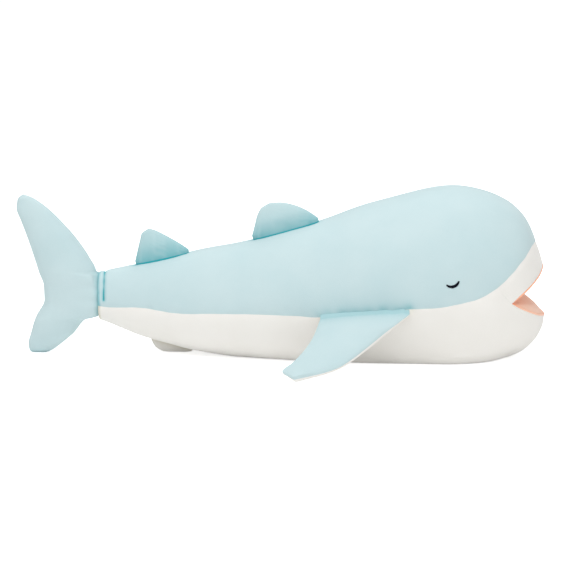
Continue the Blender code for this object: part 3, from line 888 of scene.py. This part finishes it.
    def belly(self) -> bpy.types.Object:
        """The cream panel, from the tail to the lower lip."""
        place = self.ring_places(TAIL_SEAM_X, self.mouth.fold[0], math.radians(-30))
        crossing = self.form.place_at(np.array(self.mouth.crossing()[1]))
        place[np.argmin(np.abs(place - crossing))] = crossing
        x = self.form.section(place)[0]
        start = self.form.angle_at(place, self.border(x))
        under = np.full(place.shape, -math.pi / 2)
        grid = self.across(place, start, under, self.belly_columns, False)
        last = grid[-1]
        swing = np.arctan2(self.mouth.fold[1] - last[:, 2], last[:, 1])
        swing[0], swing[-1] = 0.0, math.pi / 2
        share = np.linspace(0, 1, self.mouth_rows + 1)[1:-1, None]
        end = self.mouth.roll(self.mouth.lower, swing, 1)[0]
        fan = self.mouth.hit(-math.pi / 2 + share * (end + math.pi / 2), swing[None])
        lip = self.mouth.lip(self.mouth.lower, swing, 1)
        half = np.concatenate([grid, fan])
        crease = np.concatenate([self.relief.crease(half), np.zeros(lip.shape[:2])])
        crease = self.rolled_shade(np.concatenate([crease, crease[:, ::-1][:, 1:]], axis=1))
        half = np.concatenate([self.relief.apply(half), lip])
        half = self.rolled_end(two_sided(half))
        piece = grid_piece(
            "belly_skin", half[:, ::-1], self.wardrobe.made[Textile.CREAM], crease[:, ::-1]
        )
        self.wardrobe.dress(piece, Textile.CREAM)
        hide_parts("belly_panel", "head_fill", "waist_fill", "rear_fill")
        return piece

    def snout(self) -> bpy.types.Object:
        """The cream band over the nose, from the upper lip to the side seam."""
        swing = np.linspace(0, math.pi / 2, 64)
        crossing = self.mouth.crossing()[0]
        swing[np.argmin(np.abs(swing - crossing))] = crossing
        top = self.mouth.top_turn(np.maximum(swing, 1e-3))
        start = self.mouth.roll(self.mouth.upper, swing, -1)[0]
        share = np.concatenate(
            [np.linspace(0, 0.92, self.snout_rows)[1:], [0.95, 0.972, 0.986, 0.994, 1.0]]
        )
        turns = start + share[:, None] * np.maximum(top - start, 0.0)
        fan = self.relief.apply(self.mouth.hit(turns, swing[None]))
        lip = self.mouth.lip(self.mouth.upper, swing, -1)[::-1]
        half = np.concatenate([lip, fan])
        grid = two_sided(half)[:, ::-1]
        piece = grid_piece("snout_skin", grid, self.wardrobe.made[Textile.CREAM])
        self.wardrobe.dress(piece, Textile.CREAM)
        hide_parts("snout_panel")
        return piece

    def lining(self, name: str, node: str, turn: float, sense: int, puff: float) -> None:
        """Builds one of the two sheets of the mouth's lining, with the bead along its lip.

        Args:
            name: the piece's name.
            node: the CAD node that it stands for.
            turn: angle of its lip round the fold.
            sense: as for the lip.
            puff: how far its middle stands into the mouth.
        """
        swing = np.linspace(0, math.pi / 2, 56)
        edge = self.mouth.lip(turn, swing, sense)[-3]
        radius = self.bead * self.mouth.roll(turn, swing, sense)[1] / self.mouth.lip_radius
        ray = self.mouth.ray(np.full(swing.shape, turn), swing)
        into = sense * np.array((-math.sin(turn), 0.0, math.cos(turn)))
        bead = [
            edge + (ray * math.cos(bend) + into * math.sin(bend)) * radius[:, None]
            for bend in np.radians(np.linspace(-70, 150, 10))
        ]
        fold = edge.copy()
        fold[:, 0], fold[:, 2] = self.mouth.fold[0] + 0.0006, self.mouth.fold[1]
        width = np.clip(1 - (edge[:, 1] / edge[0, 1]) ** 4, 0, 1)
        share = np.linspace(0.95, 0, 26)
        height = puff * np.sin(math.pi * share**1.5)
        rows = [
            fold + (bead[-1] - fold) * s + into * (h * width)[:, None]
            for s, h in zip(share, height)
        ]
        points = two_sided(np.array([*bead, *rows]))
        # Painted shade: towards the fold at the back of the mouth, along the bead, and into the
        # mouth's corners.
        fold_shade = 0.75 * np.exp(-share / 0.16)
        rim = np.full(len(bead), 0.55 if sense < 0 else 0.25)
        crease = np.concatenate([rim, fold_shade])[:, None]
        corner = 0.95 * np.exp(-(np.abs(edge[0, 1]) - np.abs(edge[:, 1])) / 0.006)
        crease = np.maximum(crease, np.concatenate([corner, corner[::-1][1:]])[None])
        if sense > 0:
            points, crease = points[:, ::-1], crease[:, ::-1]
        piece = grid_piece(name, points, self.wardrobe.made[Textile.CORAL], crease)
        self.wardrobe.dress(piece, Textile.CORAL)
        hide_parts(node)
        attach(piece, "front_body")

    def build(self) -> None:
        self.sew()
        for piece in [*self.back(), self.belly()]:
            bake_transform(piece)
        snout = self.snout()
        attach(snout, "front_body")
        self.lining("mouth_roof_skin", "mouth_roof_lining", self.mouth.upper, -1, 0.0022)
        self.lining("mouth_floor_skin", "mouth_floor_lining", self.mouth.lower, 1, 0.0055)


@dataclass
class Fin:
    """A flat stuffed fin: two knit panels sewn round their rim."""

    name: str
    nodes: tuple[str, ...]
    body: str
    moving: str
    origin: tuple[float, float, float]
    root: tuple[float, float, float]
    span: tuple[float, float, float]
    length: float
    height: float
    rear: tuple[tuple[float, float], ...]
    front: tuple[tuple[float, float], ...]
    thickness: tuple[tuple[float, float], ...]  # share of the height, thickness
    textile: Textile = Textile.BLUE
    sunk: float = 0.010
    hidden_rows: int = 15
    gap: float = 0.0  # how far the root line lies above the body's skin
    tip: float = 0.90
    blend_width: tuple[float, float] = (-0.001, 0.008)
    wrinkle: float = 0.0004
    even: float = 1.0  # share of the wrinkles all along the root, the rest are at its front
    shaded: tuple[float, float] = (0.6, 0.011)  # strength of the painted shade at the root, and its reach
    seam_shade: float = 1.0  # strength of the painted shade line right at the root seam
    rim: float = 0.0007
    rows: int = 44
    columns: int = 44
    fill: float = 0.7

    def axes(self) -> tuple[np.ndarray, ...]:
        """Origin, root, span and thickness directions."""
        root, span = (np.array(v) / np.linalg.norm(v) for v in (self.root, self.span))
        out = np.cross(root, span)
        return np.array(self.origin), root, span, out / np.linalg.norm(out)

    def levels(self) -> np.ndarray:
        """Shares of the height at which the fin has a row, closer together at its ends."""
        return 1 - (1 - np.linspace(0, 1, self.rows) ** 1.3) ** 1.7

    def section(self, level: np.ndarray, theta: np.ndarray) -> np.ndarray:
        """Points round the fin's sections.

        Args:
            level: shares of the height [row, 1].
            theta: angles round the section [1, column], 0 at the front and 180 at the rear.

        Returns:
            Points [row, column, 3].
        """
        origin, root, span, out = self.axes()
        reach = np.clip(level, 0, 1)
        rear = line_through(tuple((v, a) for a, v in self.rear), reach) * self.length
        front = line_through(tuple((v, a) for a, v in self.front), reach) * self.length
        past = np.clip((level - self.tip) / (1 - self.tip), 0, 1)
        closing = np.sqrt(np.maximum(1 - past**2, 0))
        middle, half = (front + rear) / 2, (front - rear) / 2 * closing
        thick = line_through(self.thickness, reach) / 2
        thick = thick * np.sqrt(1 - (1 - np.clip(half / np.maximum(thick * 1.2, 1e-6), 0, 1)) ** 2)
        lift = thick * np.abs(np.sin(theta)) ** 0.92 * np.sign(np.sin(theta))
        half = half - self.rim * np.exp(-np.abs(lift) / 0.0009) * (half > 2 * self.rim)
        along = middle + half * np.cos(theta)
        fade = np.exp(-np.maximum(level, 0) * self.height / 0.012) * np.abs(np.sin(theta))
        wave = np.sin(along * (2 * math.pi / 0.0105) + 2.5 * np.sin(along * 190))
        front_end = np.exp(-(((0.90 - along / self.length) / 0.11) ** 2))
        lift = lift + self.wrinkle * (self.even + (1 - self.even) * front_end) * fade * wave
        rise = level * self.height
        return (
            origin
            + root * along[..., None]
            + span * (rise + 0 * along)[..., None]
            + out * lift[..., None]
        )

    def panel(self, first: float, last: float) -> np.ndarray:
        """The grid between two angles round the section, in degrees."""
        hidden = np.linspace(-self.sunk / self.height, 0, self.hidden_rows, endpoint=False)
        level = np.concatenate([hidden, self.levels()])[:, None]
        share = np.linspace(0, 1, self.columns)
        theta = np.radians(first + (last - first) * share)[None]
        return self.section(level, theta)

    def crease(self, points: np.ndarray) -> np.ndarray:
        """How strongly shade is painted at points, strongest at the root."""
        origin, _, span, _ = self.axes()
        rise = np.maximum((points - origin) @ span + self.gap, 0.0)
        strength, reach = self.shaded
        wave = 1 + 0.12 * np.sin(points[..., 0] * 700 + 3 * np.sin(points[..., 0] * 230))
        seam = self.seam_shade * np.exp(-((rise / 0.0009) ** 2))
        return np.maximum(strength * np.exp(-((rise / reach) ** 1.2)) * wave, seam)

    def finished(self, piece: bpy.types.Object, textile: Textile, wardrobe: Wardrobe) -> None:
        """Dresses a panel and bakes its transform."""
        wardrobe.dress(piece, textile)
        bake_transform(piece)

    def on_side(self, points: np.ndarray) -> np.ndarray:
        """The points on the side of the body where the fin is."""
        return points

    def build(self, wardrobe: Wardrobe) -> None:
        """Builds the fin as one closed piece."""
        grid = self.panel(0, 360)
        piece = grid_piece(self.name, grid, wardrobe.made[self.textile], self.crease(grid))
        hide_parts(*self.nodes)
        self.finished(piece, self.textile, wardrobe)


@dataclass
class SideFin(Fin):
    """A pectoral fin, blue above and cream below."""

    edge: float = 6.0  # how far the cream comes up round the front edge, in degrees

    def on_side(self, points: np.ndarray) -> np.ndarray:
        """The points on the side of the body where the fin is."""
        return points if "left" in self.name else mirrored(points)

    def build(self, wardrobe: Wardrobe) -> None:
        """Builds the two panels of the fin."""
        for textile, label, low, high in (
            (Textile.BLUE, "top", self.edge, 180.0),
            (Textile.CREAM, "under", 180.0, 360.0 + self.edge),
        ):
            grid = self.panel(low, high)
            shade = self.crease(grid)
            grid = self.on_side(grid)
            if "right" in self.name:
                grid, shade = grid[:, ::-1], shade[:, ::-1]
            piece = grid_piece(f"{self.name}_{label}_cover", grid, wardrobe.made[textile], shade)
            kinds = (f"{label}_panel", "fill") if label == "top" else (f"{label}_panel",)
            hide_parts(*(node for node in self.nodes if node.endswith(kinds)))
            self.finished(piece, textile, wardrobe)


@dataclass
class TailFin:
    """The upright forked tail, gathered into the end of the body."""

    wardrobe: Wardrobe
    hinge_x: float = -0.208
    height: float = 0.182
    depth: float = 0.092
    thickness: float = 0.038
    neck_x: float = -0.1985
    gather_x: float = -0.2115  # behind it the fin is flat, ahead of it gathered
    crease_x: float = -0.2052  # where the painted shade in the gathers is strongest
    neck_middle: float = TAIL_MIDDLE_Z
    neck_half: tuple[float, float] = (0.0262, 0.0186)  # half height and half width of the neck
    neck_band: tuple[float, float] = (0.225, 0.515)  # shares of the height between which it lies
    slices: tuple[tuple[float, float, float, float], ...] = (
        (0.000, 0.865, 0.610, 0.22), (0.060, 0.872, 0.450, 0.50), (0.130, 0.835, 0.290, 0.75),
        (0.205, 0.790, 0.170, 0.92), (0.240, 0.760, 0.030, 0.97), (0.340, 0.660, 0.000, 1.00),
        (0.430, 0.665, 0.000, 1.00), (0.505, 0.715, 0.000, 0.97), (0.600, 0.770, 0.085, 0.90),
        (0.720, 0.845, 0.240, 0.78), (0.830, 0.922, 0.425, 0.62), (0.915, 0.978, 0.595, 0.46),
        (0.970, 0.962, 0.740, 0.30), (1.000, 0.925, 0.850, 0.16),
    )
    rows: int = 120
    columns: int = 72
    rim: float = 0.0006
    bend: tuple[float, float] = (0.008, -0.009)

    def grid(self) -> np.ndarray:
        """Points round level sections, from the lower lobe to the upper one."""
        share = np.linspace(0, 1, self.rows)
        level = (0.5 - 0.5 * np.cos(math.pi * share) + share) / 2
        level = level[:, None]
        theta = np.linspace(0, 2 * math.pi, self.columns)[None]
        heights, rears, fronts, thick = zip(*self.slices)
        rear = -line_through(tuple(zip(heights, rears)), level) * self.depth
        front = -line_through(tuple(zip(heights, fronts)), level) * self.depth
        low, high = self.neck_band
        across = (level - (low + high) / 2) / ((high - low) / 2)
        band = np.sqrt(np.maximum(1 - across**2, 0.0))
        front = front + band * (self.neck_x - self.hinge_x)
        half_thick = line_through(tuple(zip(heights, thick)), level) * self.thickness / 2
        ends = np.minimum(level, 1 - level) * self.height
        closing = np.sqrt(1 - (1 - np.clip(ends / 0.0055, 0, 1)) ** 2)
        middle, half = (front + rear) / 2, (front - rear) / 2
        half = half - 0.004 * (1 - closing)
        power = np.where(np.cos(theta) > 0, 2 + 5 * band, 2.0)
        lift = half_thick * closing * np.sign(np.sin(theta)) * np.abs(np.sin(theta)) ** (2 / power)
        half = half - self.rim * np.exp(-np.abs(lift) / 0.0009)
        ahead = np.sign(np.cos(theta)) * np.abs(np.cos(theta)) ** (2 / power)
        x = self.hinge_x + middle + half * ahead
        z = level * self.height + 0 * x
        points = np.stack([x, lift + 0 * x, z], -1)
        return self.gathered(points)

    def gathered(self, points: np.ndarray) -> np.ndarray:
        """The neck drawn into an oval that fits in the end of the body."""
        x, y, z = np.moveaxis(points, -1, 0)
        pull = smooth_step((x - self.gather_x) / 0.006)
        rise = (z - self.neck_middle) / self.neck_half[0]
        limit = np.sqrt(np.maximum(1 - np.clip(rise, -1, 1) ** 2, 0.0)) * self.neck_half[1]
        narrow = np.sign(y) * np.minimum(np.abs(y), limit)
        squeeze = self.neck_middle + np.clip(rise, -1, 1) * self.neck_half[0]
        y = y * (1 - pull) + narrow * pull
        z = z * (1 - pull) + squeeze * pull
        around = np.arctan2(z - self.neck_middle, y)
        near = np.exp(-((x - self.gather_x + 0.001) / 0.006) ** 2)
        folds = 1 + 0.035 * near * np.sin(around * 11 + 1.3 * np.sin(3 * around))
        return np.stack([x, y * folds, z], -1)

    def build(self) -> None:
        """Builds the tail, its neck gathered to fit the end of the body."""
        waves = Undulation(23, 0.0005, (0.03, 0.08))
        grid = self.grid()
        side = np.sign(grid[..., 1]) * smooth_step(np.abs(grid[..., 1]) / 0.008)
        grid[..., 1] += side * waves.at(grid)
        # Painted shade in the gathers at the neck and where the tail meets the floor.
        behind = np.maximum(self.crease_x - grid[..., 0], 0)
        crease = 0.65 * np.exp(-((behind / 0.0026) ** 1.2))
        crease = np.maximum(crease, 0.5 * np.exp(-grid[..., 2] / 0.0016))
        piece = grid_piece(
            "tail_fin_cover", grid[:, ::-1], self.wardrobe.made[Textile.BLUE], crease[:, ::-1]
        )
        self.wardrobe.dress(piece, Textile.BLUE)
        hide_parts("tail_fin_left_panel", "tail_fin_right_panel", "tail_fin_fill")
        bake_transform(piece)


@dataclass
class Eye:
    """A closed, smiling eye, embroidered in satin stitch on a cheek."""

    form: BodyForm
    wardrobe: Wardrobe
    centre: tuple[float, float] = (0.186, 0.1012)  # x and z
    radius: float = 0.0082
    width: float = 0.0038
    turn: float = math.radians(17.0)
    sweep: float = math.radians(118.0)
    stitches: int = 40
    thread: float = 0.00030

    def surface(self, x: np.ndarray, z: np.ndarray) -> tuple[np.ndarray, np.ndarray]:
        """Points and normals on the left cheek at x and z."""
        place = self.form.place_at(x)
        points = self.form.points(place, self.form.angle_at(place, z))
        return points, self.form.normals(points)

    def build(self) -> None:
        """Sews both eyes."""
        points, faces = self.crescent()
        for side in ("left", "right"):
            shown = points if side == "left" else mirrored(points)
            corners = faces if side == "right" else faces[:, ::-1]
            thread = self.wardrobe.made[Textile.NAVY]
            piece = mesh_piece(f"eye_crescent_{side}", shown, corners, thread)
            self.wardrobe.dress(piece, Textile.NAVY)
            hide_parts(f"eye_stitching_{side}")
            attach(piece, "front_body")

    def crescent(self) -> tuple[np.ndarray, np.ndarray]:
        """One tube of thread after another across the crescent."""
        points, faces = [], []
        steps, sides = 9, 6
        for k in range(self.stitches):
            share = (k + 0.5) / self.stitches
            angle = -math.pi / 2 + self.turn + self.sweep * (share - 0.5)
            half = self.width / 2 * math.sin(math.pi * (0.09 + 0.82 * share)) ** 0.55
            reach = self.radius + np.linspace(-half, half, steps)
            tilt = 0.03 * np.linspace(-1, 1, steps)
            x = self.centre[0] + reach * np.cos(angle + tilt)
            z = self.centre[1] + reach * np.sin(angle + tilt)
            base, normal = self.surface(x, z)
            crown = np.sqrt(np.maximum(1 - np.linspace(-1, 1, steps) ** 2, 0))
            base = base + normal * (0.0002 + 0.0007 * crown)[:, None]
            along = np.gradient(base, axis=0)
            along /= np.linalg.norm(along, axis=1)[:, None]
            across = np.cross(normal, along)
            first = len(points)
            for s in range(steps):
                for j in range(sides):
                    turn = 2 * math.pi * j / sides
                    size = self.thread * (0.35 + 0.65 * crown[s])
                    out = across[s] * math.cos(turn) + normal[s] * math.sin(turn)
                    points.append(base[s] + size * out)
            for s in range(steps - 1):
                for j in range(sides):
                    a, b = first + s * sides + j, first + s * sides + (j + 1) % sides
                    faces.append((a, b, b + sides, a + sides))
        return np.array(points), np.array(faces)


@dataclass
class Studio:
    """A white floor, soft light and the camera."""

    aim: tuple[float, float, float] = (0.0057, 0.0, 0.078)
    camera_place: tuple[float, float, float] = (0.0057, -1.9696, 0.4253)
    lens: float = 110.9
    ambient: float = 0.46
    floor_glow: float = 0.62
    bounce: float = 0.17  # share of the floor's glow that reaches the shark

    def build(self) -> None:
        """Sets the scene."""
        scene = bpy.context.scene
        scene.view_settings.view_transform = "Standard"
        self.floor()
        world = bpy.data.worlds.new("studio")
        world.use_nodes = True
        back = world.node_tree.nodes["Background"]
        back.inputs["Color"].default_value = (1.0, 1.0, 1.0, 1.0)
        nodes = Nodes(world.node_tree)
        seen = nodes.add("ShaderNodeLightPath").outputs["Is Camera Ray"]
        strength = nodes.add("ShaderNodeMapRange", i0=seen, i3=self.ambient, i4=1.0)
        nodes.set(back, "Strength", strength.outputs[0])
        scene.world = world
        self.light("key", (-0.3, -0.8, 2.1), 31.0, 2.0)
        self.light("fill", (1.5, -1.5, 1.0), 4.5, 1.6)
        self.light("back", (0.2, 1.4, 2.0), 12.0, 1.8)
        self.camera()

    def floor(self) -> None:
        """A wide white floor."""
        corners = np.array([(-30, -30, 0), (30, -30, 0), (30, 30, 0), (-30, 30, 0)], float)
        material = bpy.data.materials.new("floor_white")
        material.use_nodes = True
        shader = material.node_tree.nodes["Principled BSDF"]
        shader.inputs["Base Color"].default_value = (0.93, 0.93, 0.93, 1.0)
        shader.inputs["Roughness"].default_value = 0.9
        shader.inputs["Emission Color"].default_value = (1.0, 1.0, 1.0, 1.0)
        nodes = Nodes(material.node_tree)
        seen = nodes.add("ShaderNodeLightPath").outputs["Is Camera Ray"]
        glow = nodes.add(
            "ShaderNodeMapRange", i0=seen, i3=self.floor_glow * self.bounce, i4=self.floor_glow
        )
        nodes.set(shader, "Emission Strength", glow.outputs[0])
        floor = mesh_piece("floor", corners, np.array([(0, 1, 2, 3)]), material)

    def light(
        self, name: str, place: tuple[float, float, float], watts: float, size: float
    ) -> None:
        """A square soft light that faces the shark.

        Args:
            name: the light's name.
            place: where it stands.
            watts: its power.
            size: its side.
        """
        data = bpy.data.lights.new(name, "AREA")
        data.energy, data.size = watts, size
        lamp = bpy.data.objects.new(name, data)
        lamp.location = place
        aim = Vector(self.aim) - Vector(place)
        lamp.rotation_euler = aim.to_track_quat("-Z", "Y").to_euler()
        bpy.context.scene.collection.objects.link(lamp)

    def camera(self) -> None:
        """The camera, level with the shark's side and a little above it."""
        data = bpy.data.cameras.new("camera")
        data.lens = self.lens
        camera = bpy.data.objects.new("camera", data)
        camera.location = self.camera_place
        aim = Vector(self.aim) - Vector(self.camera_place)
        camera.rotation_euler = aim.to_track_quat("-Z", "Y").to_euler()
        bpy.context.scene.collection.objects.link(camera)
        bpy.context.scene.camera = camera


def dorsal_thickness(root: float, bulge: float) -> tuple[tuple[float, float], ...]:
    """Thickness of a back fin by share of its height."""
    shares = ((0, 0.9), (0.33, 0.98), (0.66, 0.75), (1, 0.4))
    return tuple((v, root * (1 - v) + bulge * s) for v, s in shares)


def parts_of(fin: str, *panels: str) -> tuple[str, ...]:
    """The CAD nodes of a fin: its panels and its stuffing."""
    return tuple(f"{fin}_{part}" for part in (*panels, "fill"))


def fins() -> list[Fin]:
    """Every fin but the tail."""
    front = Fin(
        name="front_dorsal_cover",
        nodes=parts_of("front_dorsal", "left_panel", "right_panel"),
        body="front_body",
        moving="front_dorsal_fin",
        origin=(-0.03201, 0.0, 0.13468),
        root=(0.96399, 0.0, 0.26595),
        span=(-0.26595, 0.0, 0.96399),
        length=0.0783,
        height=0.0305,
        rear=((0, 0), (0.08, 0.36), (0.15, 0.68), (0.23, 0.90), (0.31, 1.0)),
        front=((1, 0), (0.90, 0.30), (0.76, 0.62), (0.58, 0.88), (0.44, 1)),
        thickness=dorsal_thickness(0.004, 0.015),
        shaded=(0.6, 0.014),
        gap=0.0042,
    )
    rear = Fin(
        name="rear_dorsal_cover",
        nodes=parts_of("rear_dorsal", "left_panel", "right_panel"),
        body="rear_body",
        moving="rear_dorsal_fin",
        origin=(-0.16487, 0.0, 0.10591),
        root=(0.977, 0.0, 0.21326),
        span=(-0.21326, 0.0, 0.977),
        length=0.0629,
        height=0.0325,
        rear=((0, 0), (0.09, 0.36), (0.17, 0.68), (0.23, 0.90), (0.32, 1.0)),
        front=((1, 0), (0.86, 0.28), (0.68, 0.60), (0.52, 0.86), (0.42, 1)),
        thickness=dorsal_thickness(0.004, 0.015),
        shaded=(0.62, 0.023),
        gap=0.0035,
    )
    pectorals = [
        SideFin(
            name=f"pectoral_{side}",
            nodes=parts_of(f"pectoral_{side}", "top_panel", "under_panel"),
            body="front_body",
            moving=f"pectoral_fin_{side}",
            origin=(0.04343, 0.08935, 0.0552),
            root=(0.98707, 0.11584, 0.078),
            span=(-0.047, 0.8701, -0.4906),
            length=0.0990,
            height=0.095,
            rear=((0, 0), (-0.06, 0.30), (-0.15, 0.53), (-0.28, 0.74), (-0.40, 0.88), (-0.36, 1.0)),
            front=((1, 0), (0.72, 0.32), (0.53, 0.55), (0.34, 0.76), (0.16, 0.91), (-0.10, 1)),
            thickness=(
                (0, 0.006), (0.12, 0.012), (0.3, 0.019), (0.55, 0.018), (0.8, 0.013), (1, 0.008),
            ),
            tip=0.80,
            blend_width=(-0.004, 0.012),
            wrinkle=0.0016,
            even=0.06,
            shaded=(0.24, 0.006),
            seam_shade=0.3,
        )
        for side in ("left", "right")
    ]
    pelvic = Fin(
        name="pelvic_cover",
        nodes=parts_of("pelvic", "left_panel", "right_panel"),
        body="rear_body",
        moving="pelvic_fin",
        origin=(-0.148, 0.0, 0.01489),
        root=(0.96448, 0.0, -0.26415),
        span=(-0.2642, 0.0, -0.9645),
        length=0.050,
        height=0.0093,
        rear=((0, 0), (0.066, 0.4), (0.158, 0.8), (0.30, 1.0)),
        front=((1, 0), (0.98, 0.1), (0.90, 0.30), (0.70, 0.60), (0.40, 1)),
        thickness=((0, 0.006), (0.5, 0.006), (1, 0.0045)),
        textile=Textile.CREAM,
        sunk=0.008,
        wrinkle=0.0002,
        shaded=(0.25, 0.004),
        seam_shade=0.3,
    )
    return [front, rear, *pectorals, pelvic]


def main() -> None:
    """Builds the shark and its studio."""
    logging.basicConfig(level=logging.INFO, format="%(name)s: %(message)s")
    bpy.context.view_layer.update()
    Studio().build()
    wardrobe = Wardrobe()
    form = BodyForm()
    skin = BodySkin(form, Mouth(form), Relief(form), wardrobe)
    skin.build()
    for fin in fins():
        fin.build(wardrobe)
        log.info("%s is sewn", fin.name)
    TailFin(wardrobe).build()
    Eye(form, wardrobe).build()


if __name__ == "__main__":
    main()
